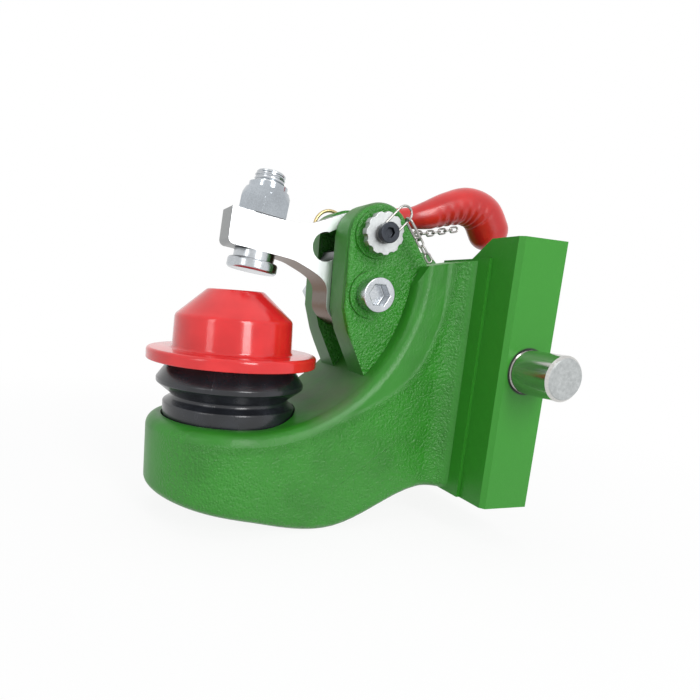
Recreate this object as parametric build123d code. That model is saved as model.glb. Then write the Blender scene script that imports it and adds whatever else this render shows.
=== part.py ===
"""Tractor ball hitch: cast carrier on a slide plate, 80 mm ball under a cap, and a hold-down lever.

Frame: origin at the ball's centre, +X towards the slide plate, +Z up, -Y the side with the knob.
All lengths are millimetres, all angles degrees.
"""
import math
import os

from build123d import *

# Clearances
RUN_GAP = 0.05
FACE_GAP = 0.5
SEAT_GAP = 0.3

# Length of a cut that has to pass right through
CUT_REACH = 200.0

# Coupling ball and its fixing
BALL_D = 80.0
NECK_D = 46.0
SHANK_D = 38.0
SHANK_LENGTH = 34.0
BALL_SCREW_D = 16.0
BALL_SCREW_HEAD_D = 24.0
BALL_SCREW_HEAD_H = 10.0
BALL_WASHER_D = 50.0
BALL_WASHER_T = 6.0
BALL_SCREW_DEPTH = 24.0
POCKET_GAP = 2.0

# Cast carrier
CUP_R = 60.5
CUP_TOP_Z = -47.0
NOSE_BOTTOM_Z = -98.5
KEEL_X = 4.0
KEEL_Z = -110.5
BELLY_X = 67.0
BELLY_Z = -120.0
ARCH_SETBACK = 23.6
ARCH_Z = -95.0
FRONT_MARGIN = 1.0
PLATE_OVERLAP = 5.0
SCOOP_REACH_X = 121.5
SCOOP_TRIM = 0.5
SCOOP_R = 116.5
WEB_RISE_X = 6.0
WEB_STEP_Z = 13.3
WEB_FALL = 8.0
WAIST_HALF_W = 48.0
ROOT_HALF_W = 68.5
ROOT_FILLET_R = 20.0
ROOT_PAD_T = 2.5
RIM_FILLET_R = 9.0
KEEL_FILLET_R = 7.0
SEAT_RECESS_R = 50.0
SEAT_RECESS_DEPTH = 4.0
CHANNEL_HALF_W = 19.0
CHANNEL_FLOOR_Z = 28.0
CHANNEL_SETBACK = 8.0
EAR_GAP_FLOOR_Z = 13.0

# Slide plate
PLATE_STANDOFF = 41.1
PLATE_T = 41.5
PLATE_HALF_W = 94.6
PLATE_STEP_Z = 13.4
PLATE_BOTTOM_Z = -93.6
PLATE_CHAMFER = 3.0
NOTCH_HALF_W = 48.0

# Cross pin in the plate
CROSS_PIN_D = 30.0
CROSS_PIN_Z = 5.0
CROSS_PIN_REACH = 32.5
CROSS_PIN_CHAMFER = 2.0
CROSS_PIN_GROOVE_W = 2.0
CROSS_PIN_GROOVE_DEPTH = 0.6

# Ears
EAR_INNER_Y = 13.9
EAR_T = 23.2
EAR_FRONT_X = 68.0
EAR_TOP_R = 24.5
EAR_HEAD_X = 92.5
EAR_HEAD_Z = 88.5
EAR_LAP = 14.5
EAR_EDGE_R = 4.0
EAR_CHIN = 1.0
EAR_CHIN_Z = 38.0
EAR_TOE_X = 74.0
EAR_TOE_Z = 22.0
EAR_HEEL_X = 96.0
EAR_ROOT_Z = -20.0
BOSS_D = 33.0
BOSS_H = 2.0

# Pivot
PIVOT_X = 88.5
PIVOT_Z = 49.0
PIVOT_D = 16.0
PIVOT_HEAD_D = 24.0
PIVOT_HEAD_H = 12.0
PIVOT_SOCKET_AF = 14.0
PIVOT_SOCKET_DEPTH = 8.0
PIVOT_NUT_AF = 24.0
PIVOT_NUT_H = 14.0
PIVOT_WASHER_D = 30.0
PIVOT_WASHER_T = 3.0
BUSH_WALL = 2.5

# Lever
LEVER_T = 26.8
LEVER_TILT = 8.2
LEVER_NOSE_TOP = (-9.8, 101.5)
LEVER_NOSE_LOW = (-11.5, 80.5)
LEVER_BACK = ((32.0, 95.5), (41.6, 94.8), (66.8, 102.7), (114.0, 115.5))
LEVER_HEEL = ((117.0, 104.0), (112.0, 80.0), (114.0, 52.0))
LEVER_FOOT = (96.0, 24.3)
LEVER_THROAT = ((66.8, 36.0), (64.8, 52.9), (46.3, 65.7), (30.0, 70.57))
LEVER_CHIN_END = (-6.5, 75.83)
LEVER_CHIN = (-10.2, 77.2)
LOCK_RADIUS = 41.5
LOCK_HOLE_D = 21.0
PARK_ANGLE = 40.0
LOCK_NECK_D = 13.0
SLOT_GAP = 1.0

# Stud and nut, on an axis square to the lever's arm
STUD_X = 14.0
STUD_Z = 86.0
STUD_D = 22.0
ARM_HALF_H = 13.0
ARM_HALF_H_TOP = 12.0
STUD_ABOVE = 43.0
STUD_COLLAR_D = 30.0
STUD_COLLAR_H = 6.0
STUD_DISC_D = 37.0
STUD_DISC_H = 8.0
STUD_NUT_AF = 34.0
STUD_NUT_H = 18.0
STUD_NUT_COLLAR_D = 28.0
STUD_NUT_COLLAR_H = 4.0

# Grip
TAIL_BAR_D = 12.0

# Locking pin, knob and screw
LOCK_PIN_D = 20.0
LOCK_TRAVEL = 4.0
LOCK_PIN_TAIL = 9.0
KNOB_D = 29.0
KNOB_T = 6.0
KNOB_SCALLOPS = 11
KNOB_SCALLOP_R = 3.0
KNOB_SCREW_D = 8.0
KNOB_SCREW_DEPTH = 18.0
KNOB_SCREW_HEAD_D = 14.0
KNOB_SCREW_HEAD_H = 4.5
KNOB_SOCKET_AF = 6.0
KNOB_SOCKET_DEPTH = 3.0
KNOB_SCREW_GAP = 2.0
PULL_RING_R = 13.0
PULL_RING_WIRE_D = 2.8
PULL_RING_SAG = 0.9

# Tether chain
LINK_WIRE_D = 1.5
LINK_LENGTH = 8.4
LINK_WIDTH = 5.4
HOOK_LENGTH = 19.0
HOOK_WIDTH = 8.0
HOOK_WIRE_D = 1.8
LINK_SLACK = 0.15
LINK_PITCH = LINK_LENGTH - 2 * LINK_WIRE_D - LINK_SLACK
EYE_LENGTH = 31.0
EYE_TURN = 48.0
TETHER_LINKS = 3

# Cap and bellows
CAP_WALL = 2.8
CAP_TOP_Z = 45.0
CAP_TOP_R = 20.5
CAP_CORNER_Z = 25.2
CAP_CORNER_R = 43.1
CAP_SKIRT_R = 44.1
CAP_FLANGE_R = 62.3
CAP_FLANGE_Z = 1.4
CAP_FLANGE_T = 8.4
CAP_TOP_ROUND = 4.0
CAP_CORNER_ROUND = 5.0
CAP_SKIRT_ROUND = 2.0
CAP_FLANGE_ROUND = 2.4
BELLOWS_FOLD_R = 54.4
BELLOWS_FOLD_Z = -21.7
BELLOWS_VALLEY_R = 42.0
BELLOWS_VALLEY_Z = -32.8
BELLOWS_FOOT_R = 49.0
BELLOWS_FOOT_Z = -37.5
BELLOWS_WALL = 3.0
BELLOWS_FOLD_FLAT = 1.5
BELLOWS_ROUND = 1.2

# Worked out from the sizes above
SCOOP_START_X = SCOOP_REACH_X - SCOOP_R
SCOOP_END_X = SCOOP_REACH_X - SCOOP_TRIM
SCOOP_END_Z = CUP_TOP_Z + SCOOP_R - math.sqrt(SCOOP_R ** 2 - (SCOOP_R - SCOOP_TRIM) ** 2)
WEB_FRONT_Z = SCOOP_END_Z + WEB_STEP_Z
WEB_REAR_Z = WEB_FRONT_Z + WEB_FALL
PLATE_TOP_Z = WEB_REAR_Z + PLATE_STEP_Z
EAR_OUTER_Y = EAR_INNER_Y + EAR_T
PLATE_X = SCOOP_REACH_X + PLATE_STANDOFF
ARCH_X = PLATE_X - ARCH_SETBACK
EAR_REAR_X = SCOOP_REACH_X + EAR_LAP
PLATE_BACK_X = PLATE_X + PLATE_T
CROSS_PIN_X = PLATE_X + PLATE_T / 2
LOCK_Z = PIVOT_Z + LOCK_RADIUS
BALL_R = BALL_D / 2
SEAT_Z = CUP_TOP_Z - SEAT_RECESS_DEPTH
WASHER_Z = SEAT_Z - SHANK_LENGTH
BOSS_FACE_Y = EAR_OUTER_Y + BOSS_H


def extrude_y(face, low_y, high_y):
    """Solid from an XZ face between two Y values."""
    return extrude(face.moved(Location((0, high_y, 0))), amount=high_y - low_y, dir=(0, -1, 0))


def along_y(radius, x, z, low_y, high_y):
    """Round bar parallel to Y."""
    middle = Location((x, (low_y + high_y) / 2, z), (90, 0, 0))
    return Cylinder(radius, high_y - low_y).moved(middle)


def hex_along_y(across_flats, x, z, low_y, high_y):
    """Six-sided bar parallel to Y."""
    sketch = RegularPolygon(across_flats / 2, 6, major_radius=False)
    face = Plane((x, high_y, z), x_dir=(1, 0, 0), z_dir=(0, -1, 0)) * sketch
    return extrude(face, amount=high_y - low_y)


def revolve_profile(points):
    """Solid of revolution about Z from (radius, z) points."""
    outline = Polyline([(r, 0, z) for r, z in points], close=True)
    return revolve(make_face(outline), Axis.Z)


def ring_edges(solid, radius, z):
    """Round edges of a turned solid, of that radius and height."""
    rounds = solid.edges().filter_by(GeomType.CIRCLE)
    return [
        edge for edge in rounds
        if abs(edge.radius - radius) < 0.05 and abs(edge.arc_center.Z - z) < 0.05
    ]


def link(length, width, wire_d):
    """Chain link along X in the XY plane, centred on the origin."""
    bend_r = (width - wire_d) / 2
    half = (length - width) / 2
    start = (-half, -bend_r, 0)
    path = Wire([
        Line(start, (half, -bend_r, 0)),
        ThreePointArc((half, -bend_r, 0), (half + bend_r, 0, 0), (half, bend_r, 0)),
        Line((half, bend_r, 0), (-half, bend_r, 0)),
        ThreePointArc((-half, bend_r, 0), (-half - bend_r, 0, 0), start),
    ])
    section = Plane(start, z_dir=(1, 0, 0)) * Circle(wire_d / 2)
    return sweep(section, path)


def hung_link(length, width, wire_d, top, direction, turn):
    """Link whose upper end's wire is centred on top, laid along direction and turned about it."""
    along = Vector(*direction).normalized()
    centre = Vector(*top) + along * (length / 2 - wire_d / 2)
    side = along.cross(Vector(0, 1, 0)).normalized()
    plane = Plane(centre, x_dir=along, z_dir=side)
    return plane.location * link(length, width, wire_d).rotate(Axis.X, turn)


def chain_along(points, first_turn=0.0):
    """Links along a polyline, each turned a quarter from the last and hung in the one before."""
    path = Spline(points)
    count = int(path.length / LINK_PITCH)
    links = []
    for index in range(count):
        share = (index + 0.5) * LINK_PITCH / path.length
        centre = path.position_at(share)
        along = path.tangent_at(share)
        plane = Plane(centre, x_dir=along, z_dir=along.cross(Vector(0, 1, 0)))
        one = link(LINK_LENGTH, LINK_WIDTH, LINK_WIRE_D).rotate(Axis.X, first_turn + 90.0 * (index % 2))
        links.append(plane.location * one)
    return Compound(links)


def make_ball():
    ball = Sphere(BALL_R)
    neck = Cylinder(NECK_D / 2, -SEAT_Z, align=(Align.CENTER, Align.CENTER, Align.MAX))
    shank_length = SHANK_LENGTH - SEAT_GAP
    shank = Cylinder(SHANK_D / 2, shank_length, align=(Align.CENTER, Align.CENTER, Align.MAX))
    thread = Cylinder(BALL_SCREW_D / 2, BALL_SCREW_DEPTH, align=(Align.CENTER, Align.CENTER, Align.MIN))
    solid = ball + neck + shank.moved(Location((0, 0, SEAT_Z)))
    return solid - thread.moved(Location((0, 0, SEAT_Z - shank_length)))


def make_ball_washer():
    disc = Cylinder(BALL_WASHER_D / 2, BALL_WASHER_T, align=(Align.CENTER, Align.CENTER, Align.MAX))
    hole = Cylinder(BALL_SCREW_D / 2 + SEAT_GAP, 3 * BALL_WASHER_T)
    return (disc - hole).moved(Location((0, 0, WASHER_Z)))


def make_ball_screw():
    top = WASHER_Z + BALL_SCREW_DEPTH
    seat = WASHER_Z - BALL_WASHER_T
    shaft = Cylinder(BALL_SCREW_D / 2 - RUN_GAP, top - seat, align=(Align.CENTER, Align.CENTER, Align.MIN))
    head = extrude(RegularPolygon(BALL_SCREW_HEAD_D / 2, 6, major_radius=False), amount=BALL_SCREW_HEAD_H)
    return shaft.moved(Location((0, 0, seat))) + head.moved(Location((0, 0, seat - BALL_SCREW_HEAD_H)))


def scoop_point(x):
    """Height of the concave top of the carrier at x."""
    rise = SCOOP_R - math.sqrt(SCOOP_R ** 2 - (x - SCOOP_START_X) ** 2)
    return CUP_TOP_Z + rise


def make_carrier_block():
    """Side profile of the arm cut to its plan outline."""
    scoop_end = (SCOOP_END_X, 0, SCOOP_END_Z)
    scoop_mid_x = SCOOP_START_X + SCOOP_R * 0.7
    front_x = -CUP_R - FRONT_MARGIN
    back_x = PLATE_X + PLATE_OVERLAP
    web_x = SCOOP_END_X + WEB_RISE_X
    profile = Wire([
        Line((front_x, 0, NOSE_BOTTOM_Z), (front_x, 0, CUP_TOP_Z)),
        Line((front_x, 0, CUP_TOP_Z), (SCOOP_START_X, 0, CUP_TOP_Z)),
        ThreePointArc((SCOOP_START_X, 0, CUP_TOP_Z), (scoop_mid_x, 0, scoop_point(scoop_mid_x)), scoop_end),
        Line(scoop_end, (web_x, 0, WEB_FRONT_Z)),
        Line((web_x, 0, WEB_FRONT_Z), (back_x, 0, WEB_REAR_Z)),
        Line((back_x, 0, WEB_REAR_Z), (back_x, 0, PLATE_BOTTOM_Z)),
        Spline(
            (back_x, 0, PLATE_BOTTOM_Z),
            (ARCH_X, 0, ARCH_Z),
            (BELLY_X, 0, BELLY_Z),
            (KEEL_X, 0, KEEL_Z),
            (front_x, 0, NOSE_BOTTOM_Z),
            tangents=((-1, 0, 0.1), (-1, 0, 0.2)),
        ),
    ])
    body = extrude_y(make_face(profile), -PLATE_HALF_W, PLATE_HALF_W)
    waist_x = PLATE_X - ROOT_FILLET_R
    reach = PLATE_X + PLATE_OVERLAP
    root_y = WAIST_HALF_W + ROOT_FILLET_R
    bearing = math.atan2(WAIST_HALF_W, waist_x) + math.acos(CUP_R / math.hypot(waist_x, WAIST_HALF_W))
    touch_x = CUP_R * math.cos(bearing)
    touch_y = CUP_R * math.sin(bearing)

    def half(sign):
        bend = math.sqrt(0.5) * ROOT_FILLET_R
        return [
            Line((touch_x, sign * touch_y), (waist_x, sign * WAIST_HALF_W)),
            ThreePointArc(
                (waist_x, sign * WAIST_HALF_W),
                (waist_x + bend, sign * (WAIST_HALF_W + ROOT_FILLET_R - bend)),
                (PLATE_X, sign * root_y),
            ),
            Line((PLATE_X, sign * root_y), (reach, sign * root_y)),
        ]

    plan = Wire(
        [ThreePointArc((touch_x, touch_y), (-CUP_R, 0), (touch_x, -touch_y))]
        + half(-1)
        + [Line((reach, -root_y), (reach, root_y))]
        + half(1)
    )
    column = extrude(make_face(plan), amount=2 * CUT_REACH).moved(Location((0, 0, -CUT_REACH)))
    return body & column


def make_plate():
    size = (PLATE_T, 2 * PLATE_HALF_W, PLATE_TOP_Z - PLATE_BOTTOM_Z)
    plate = Box(*size).moved(Location((PLATE_X + PLATE_T / 2, 0, (PLATE_TOP_Z + PLATE_BOTTOM_Z) / 2)))
    plate = chamfer(plate.edges().filter_by(Axis.Z), PLATE_CHAMFER)
    rise = PLATE_TOP_Z - WEB_REAR_Z
    notch = make_face(Polyline(
        [
            (PLATE_X, -NOTCH_HALF_W, WEB_REAR_Z),
            (PLATE_X, NOTCH_HALF_W, WEB_REAR_Z),
            (PLATE_X, NOTCH_HALF_W + 1.4 * rise, PLATE_TOP_Z + 0.1),
            (PLATE_X, -NOTCH_HALF_W - 1.4 * rise, PLATE_TOP_Z + 0.1),
        ],
        close=True,
    ))
    plate -= extrude(notch.moved(Location((-1, 0, 0))), amount=PLATE_T + 2.0, dir=(1, 0, 0))
    pad_size = (ROOT_PAD_T + 1.0, 2 * (ROOT_HALF_W + 1.5), WEB_REAR_Z - PLATE_BOTTOM_Z)
    pad_x = PLATE_X - ROOT_PAD_T + pad_size[0] / 2
    pad_z = (WEB_REAR_Z + PLATE_BOTTOM_Z) / 2
    pad = Box(*pad_size).moved(Location((pad_x, 0, pad_z)))
    return plate + pad


def make_ears():
    """Two ears, each a rounded head on a base that runs back into the web."""
    tangent = Vector(EAR_REAR_X - EAR_HEAD_X, 0, WEB_FRONT_Z - EAR_HEAD_Z)
    spread = math.degrees(math.acos(EAR_TOP_R / tangent.length))
    lean = math.degrees(math.atan2(tangent.Z, tangent.X)) + spread
    rear = (
        EAR_HEAD_X + EAR_TOP_R * math.cos(math.radians(lean)),
        0,
        EAR_HEAD_Z + EAR_TOP_R * math.sin(math.radians(lean)),
    )
    bend = EAR_TOP_R * math.sqrt(0.5)
    top = (EAR_HEAD_X, 0, EAR_HEAD_Z + EAR_TOP_R)
    front = (EAR_FRONT_X, 0, EAR_HEAD_Z)
    outline = Wire([
        Line((EAR_FRONT_X + EAR_CHIN, 0, EAR_CHIN_Z), front),
        ThreePointArc(front, (EAR_HEAD_X - bend, 0, EAR_HEAD_Z + bend), top),
        ThreePointArc(
            top,
            (
                EAR_HEAD_X + EAR_TOP_R * math.cos(math.radians((90 + lean) / 2)),
                0,
                EAR_HEAD_Z + EAR_TOP_R * math.sin(math.radians((90 + lean) / 2)),
            ),
            rear,
        ),
        Line(rear, (EAR_REAR_X, 0, WEB_FRONT_Z)),
        Line((EAR_REAR_X, 0, WEB_FRONT_Z), (EAR_REAR_X, 0, EAR_ROOT_Z)),
        Line((EAR_REAR_X, 0, EAR_ROOT_Z), (EAR_HEEL_X, 0, EAR_ROOT_Z)),
        Line((EAR_HEEL_X, 0, EAR_ROOT_Z), (EAR_TOE_X, 0, EAR_TOE_Z)),
        Line((EAR_TOE_X, 0, EAR_TOE_Z), (EAR_FRONT_X + EAR_CHIN, 0, EAR_CHIN_Z)),
    ])
    ears = []
    for sign in (-1, 1):
        low, high = sorted((sign * EAR_INNER_Y, sign * EAR_OUTER_Y))
        ear = extrude_y(make_face(outline), low, high)
        outer = ear.edges().filter_by(lambda edge: abs(abs(edge.center().Y) - EAR_OUTER_Y) < 0.01)
        rim = [edge for edge in outer if edge.center().Z > EAR_TOE_Z]
        ear = fillet(rim, EAR_EDGE_R)
        low, high = sorted((sign * (EAR_OUTER_Y - 1.0), sign * BOSS_FACE_Y))
        ear += along_y(BOSS_D / 2, PIVOT_X, LOCK_Z, low, high)
        ear += along_y(BOSS_D / 2, PIVOT_X, PIVOT_Z, low, high)
        ears.append(ear)
    return ears


def make_carrier():
    block = make_carrier_block()
    curved = block.edges().filter_by(lambda edge: edge.geom_type != GeomType.LINE)
    walls = [edge for edge in curved if edge.center().X < PLATE_X - ROOT_FILLET_R]
    upper = [edge for edge in walls if CUP_TOP_Z - 1 < edge.center().Z < WEB_FRONT_Z - 1]
    lower = [edge for edge in walls if edge.center().Z < NOSE_BOTTOM_Z + 1]
    block = fillet(upper, RIM_FILLET_R)
    lower = [
        edge for edge in block.edges()
        if any((edge.center() - old.center()).length < 0.1 for old in lower)
    ]
    block = fillet(lower, KEEL_FILLET_R)
    plate = make_plate()
    body = block + plate
    for ear in make_ears():
        body += ear
    channel = make_face(Polyline(
        [
            (EAR_REAR_X - CHANNEL_SETBACK, 0, CHANNEL_FLOOR_Z),
            (PLATE_BACK_X + 1.0, 0, CHANNEL_FLOOR_Z),
            (PLATE_BACK_X + 1.0, 0, PLATE_TOP_Z + 1.0),
            (EAR_REAR_X - CHANNEL_SETBACK, 0, PLATE_TOP_Z + 1.0),
        ],
        close=True,
    ))
    body -= extrude_y(channel, -CHANNEL_HALF_W, CHANNEL_HALF_W)
    slot = make_face(Polyline(
        [
            (EAR_FRONT_X, 0, EAR_GAP_FLOOR_Z),
            (EAR_REAR_X - CHANNEL_SETBACK + 1.0, 0, EAR_GAP_FLOOR_Z),
            (EAR_REAR_X - CHANNEL_SETBACK + 1.0, 0, PLATE_TOP_Z),
            (EAR_FRONT_X, 0, PLATE_TOP_Z),
        ],
        close=True,
    ))
    body -= extrude_y(slot, -EAR_INNER_Y, EAR_INNER_Y)
    recess = Cylinder(SEAT_RECESS_R, CUT_REACH, align=(Align.CENTER, Align.CENTER, Align.MIN))
    body -= recess.moved(Location((0, 0, SEAT_Z)))
    body -= Cylinder(SHANK_D / 2 + RUN_GAP, 2 * CUT_REACH)
    pocket_r = BALL_WASHER_D / 2 + POCKET_GAP
    pocket = Cylinder(pocket_r, CUT_REACH, align=(Align.CENTER, Align.CENTER, Align.MAX))
    body -= pocket.moved(Location((0, 0, WASHER_Z)))
    body -= along_y(PIVOT_D / 2 + RUN_GAP, PIVOT_X, PIVOT_Z, -BOSS_FACE_Y - 1, BOSS_FACE_Y + 1)
    body -= along_y(LOCK_PIN_D / 2 + RUN_GAP, PIVOT_X, LOCK_Z, -BOSS_FACE_Y - 1, 0)
    body -= along_y(LOCK_NECK_D / 2 + RUN_GAP, PIVOT_X, LOCK_Z, 0, BOSS_FACE_Y + 1)
    body -= along_y(
        CROSS_PIN_D / 2 + RUN_GAP, CROSS_PIN_X, CROSS_PIN_Z, -PLATE_HALF_W - 1, PLATE_HALF_W + 1
    )
    return body


def make_cap():
    w = CAP_WALL
    bottom = CAP_FLANGE_Z - CAP_FLANGE_T
    outer = [
        (0, CAP_TOP_Z), (CAP_TOP_R, CAP_TOP_Z), (CAP_CORNER_R, CAP_CORNER_Z), (CAP_SKIRT_R, CAP_FLANGE_Z),
        (CAP_FLANGE_R, CAP_FLANGE_Z), (CAP_FLANGE_R, bottom), (CAP_FLANGE_R - w, bottom),
        (CAP_FLANGE_R - w, CAP_FLANGE_Z - w), (CAP_SKIRT_R - w, CAP_FLANGE_Z - w),
        (CAP_CORNER_R - w, CAP_CORNER_Z - w / 2), (CAP_TOP_R - w / 2, CAP_TOP_Z - w), (0, CAP_TOP_Z - w),
    ]
    cap = revolve_profile(outer)
    cap = fillet(ring_edges(cap, CAP_TOP_R, CAP_TOP_Z), CAP_TOP_ROUND)
    cap = fillet(ring_edges(cap, CAP_CORNER_R, CAP_CORNER_Z), CAP_CORNER_ROUND)
    cap = fillet(ring_edges(cap, CAP_SKIRT_R, CAP_FLANGE_Z), CAP_SKIRT_ROUND)
    return fillet(ring_edges(cap, CAP_FLANGE_R, CAP_FLANGE_Z), CAP_FLANGE_ROUND)


def make_bellows():
    w = BELLOWS_WALL
    top = CAP_FLANGE_Z - CAP_WALL - SEAT_GAP
    neck_r = CAP_SKIRT_R + 2.0
    foot_bottom = SEAT_Z + SEAT_GAP
    profile = [
        (neck_r, top), (neck_r, BELLOWS_FOLD_Z + 13.0), (BELLOWS_FOLD_R, BELLOWS_FOLD_Z + BELLOWS_FOLD_FLAT),
        (BELLOWS_FOLD_R, BELLOWS_FOLD_Z - BELLOWS_FOLD_FLAT), (BELLOWS_VALLEY_R, BELLOWS_VALLEY_Z),
        (BELLOWS_FOOT_R, BELLOWS_FOOT_Z), (BELLOWS_FOOT_R, foot_bottom),
        (BELLOWS_FOOT_R - w, foot_bottom), (BELLOWS_FOOT_R - w, BELLOWS_FOOT_Z - w),
        (BELLOWS_VALLEY_R - w, BELLOWS_VALLEY_Z - w / 2), (BELLOWS_VALLEY_R - w, BELLOWS_VALLEY_Z + w / 2),
        (BELLOWS_FOLD_R - 1.6 * w, BELLOWS_FOLD_Z), (neck_r - w, BELLOWS_FOLD_Z + 11.0), (neck_r - w, top),
    ]
    bellows = revolve_profile(profile)
    for z in (BELLOWS_FOLD_Z + BELLOWS_FOLD_FLAT, BELLOWS_FOLD_Z - BELLOWS_FOLD_FLAT):
        bellows = fillet(ring_edges(bellows, BELLOWS_FOLD_R, z), BELLOWS_ROUND)
    bellows = fillet(ring_edges(bellows, BELLOWS_FOOT_R, BELLOWS_FOOT_Z), BELLOWS_ROUND)
    return fillet(ring_edges(bellows, BELLOWS_VALLEY_R, BELLOWS_VALLEY_Z), BELLOWS_ROUND)


def lock_centre(turn_deg):
    """Centre of a locking hole, turned forward about the pivot from straight above it."""
    turn = math.radians(90.0 + turn_deg)
    return (PIVOT_X + LOCK_RADIUS * math.cos(turn), PIVOT_Z + LOCK_RADIUS * math.sin(turn))


def make_lever():
    """Hold-down lever plate: nose, arm, hub and tail in one outline."""
    back = [(x, 0, z) for x, z in LEVER_BACK]
    heel = [(x, 0, z) for x, z in LEVER_HEEL]
    throat = [(x, 0, z) for x, z in LEVER_THROAT]
    nose_top, nose_low, chin, chin_end, foot = (
        (x, 0, z) for x, z in (LEVER_NOSE_TOP, LEVER_NOSE_LOW, LEVER_CHIN, LEVER_CHIN_END, LEVER_FOOT)
    )
    arm = (1, 0, -math.tan(math.radians(LEVER_TILT)))
    outline = Wire([
        Line(nose_low, nose_top),
        Line(nose_top, back[0]),
        Spline(back, tangents=(arm, (1, 0, 0.22))),
        Line(back[-1], heel[0]),
        Spline(heel, tangents=((-1, 0, -1.2), (0.1, 0, -1))),
        ThreePointArc(heel[-1], foot, throat[0]),
        Spline(throat, tangents=((-0.3, 0, 1), (-arm[0], 0, -arm[2]))),
        Line(throat[-1], chin_end),
        ThreePointArc(chin_end, chin, nose_low),
    ])
    half = LEVER_T / 2
    lever = extrude_y(make_face(outline), -half, half)
    lever -= along_y(PIVOT_D / 2 + BUSH_WALL, PIVOT_X, PIVOT_Z, -half - 1, half + 1)
    slot_r = LOCK_NECK_D / 2 + SLOT_GAP
    start = lock_centre(0)
    end = lock_centre(PARK_ANGLE)
    lever -= make_slot(slot_r, half)
    for centre in (start, end):
        lever -= along_y(LOCK_HOLE_D / 2, centre[0], centre[1], -half - 1, half + 1)
    lever -= stud_bar(STUD_D / 2 + SEAT_GAP, -60.0, 60.0)
    return lever


def make_slot(slot_r, half):
    """Arc slot about the pivot for the locking pin's neck."""
    low = LOCK_RADIUS - slot_r
    high = LOCK_RADIUS + slot_r

    def at(radius, turn_deg):
        turn = math.radians(90.0 + turn_deg)
        return (PIVOT_X + radius * math.cos(turn), 0, PIVOT_Z + radius * math.sin(turn))

    outline = Wire([
        ThreePointArc(at(low, 0), at(low, PARK_ANGLE / 2), at(low, PARK_ANGLE)),
        Line(at(low, PARK_ANGLE), at(high, PARK_ANGLE)),
        ThreePointArc(at(high, PARK_ANGLE), at(high, PARK_ANGLE / 2), at(high, 0)),
        Line(at(high, 0), at(low, 0)),
    ])
    return extrude_y(make_face(outline), -half - 1, half + 1)


def stud_bar(radius, low, high):
    """Round bar on the stud's axis, between two distances above the arm's middle."""
    bar = Cylinder(radius, high - low, align=(Align.CENTER, Align.CENTER, Align.MIN))
    return bar.moved(Location((0, 0, low))).rotate(Axis.Y, LEVER_TILT).moved(Location((STUD_X, 0, STUD_Z)))


def make_stud():
    collar_top = -ARM_HALF_H - RUN_GAP
    stud = stud_bar(STUD_D / 2, collar_top - 1.0, STUD_ABOVE)
    stud += stud_bar(STUD_COLLAR_D / 2, collar_top - STUD_COLLAR_H, collar_top)
    disc_top = collar_top - STUD_COLLAR_H
    stud += stud_bar(STUD_DISC_D / 2, disc_top - STUD_DISC_H, disc_top + 0.5)
    return stud


def make_stud_nut():
    seat = ARM_HALF_H_TOP + RUN_GAP
    nut = extrude(RegularPolygon(STUD_NUT_AF / 2, 6, major_radius=False, rotation=12), amount=STUD_NUT_H)
    standing = (Align.CENTER, Align.CENTER, Align.MIN)
    cone = Cone(STUD_NUT_AF * 0.72, STUD_NUT_AF * 0.40, STUD_NUT_H * 1.25, align=standing)
    nut = nut & cone
    collar = Cylinder(STUD_NUT_COLLAR_D / 2, STUD_NUT_COLLAR_H, align=standing)
    nut += collar.moved(Location((0, 0, STUD_NUT_H)))
    nut -= Cylinder(STUD_D / 2 + RUN_GAP, 100.0)
    return nut.moved(Location((0, 0, seat))).rotate(Axis.Y, LEVER_TILT).moved(Location((STUD_X, 0, STUD_Z)))


TAIL_START = (106.0, 0, 105.5)
GRIP_STATIONS = (
    (124.0, 109.0, 6.6),
    (140.0, 111.5, 8.0),
    (154.0, 115.5, 11.2),
    (170.0, 121.5, 13.2),
    (187.0, 125.5, 14.6),
    (203.0, 121.0, 15.4),
    (212.5, 109.0, 15.6),
)


def grip_path():
    return Spline([(x, 0, z) for x, z, _ in GRIP_STATIONS])


def make_grip():
    path = grip_path()
    sections = []
    for index, (x, z, radius) in enumerate(GRIP_STATIONS):
        place = path.position_at(path.param_at_point((x, 0, z)))
        tangent = path.tangent_at(path.param_at_point((x, 0, z)))
        sections.append(Plane(place, x_dir=(0, 1, 0), z_dir=tangent) * Circle(radius))
    grip = loft(sections)
    end_x, end_z, end_r = GRIP_STATIONS[-1]
    grip += Sphere(end_r).moved(Location((end_x, 0, end_z)))
    return grip - make_tail()


def make_tail():
    """Round bar that carries the grip, welded to the back of the lever plate."""
    path = Spline([TAIL_START] + [(x, 0, z) for x, z, _ in GRIP_STATIONS])
    section = Plane(path.position_at(0), z_dir=path.tangent_at(0)) * Circle(TAIL_BAR_D / 2)
    return sweep(section, path)


def make_pivot_bolt():
    head_low = -BOSS_FACE_Y - PIVOT_HEAD_H
    tail_high = BOSS_FACE_Y + PIVOT_WASHER_T + PIVOT_NUT_H + 3.0
    bolt = along_y(PIVOT_D / 2, PIVOT_X, PIVOT_Z, -BOSS_FACE_Y, tail_high)
    bolt += along_y(PIVOT_HEAD_D / 2, PIVOT_X, PIVOT_Z, head_low, -BOSS_FACE_Y)
    return bolt - hex_along_y(PIVOT_SOCKET_AF, PIVOT_X, PIVOT_Z, head_low - 1, head_low + PIVOT_SOCKET_DEPTH)


def make_pivot_washer():
    ring = along_y(PIVOT_WASHER_D / 2, PIVOT_X, PIVOT_Z, BOSS_FACE_Y, BOSS_FACE_Y + PIVOT_WASHER_T)
    return ring - along_y(PIVOT_D / 2 + SEAT_GAP, PIVOT_X, PIVOT_Z, 0, 2 * BOSS_FACE_Y)


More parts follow.
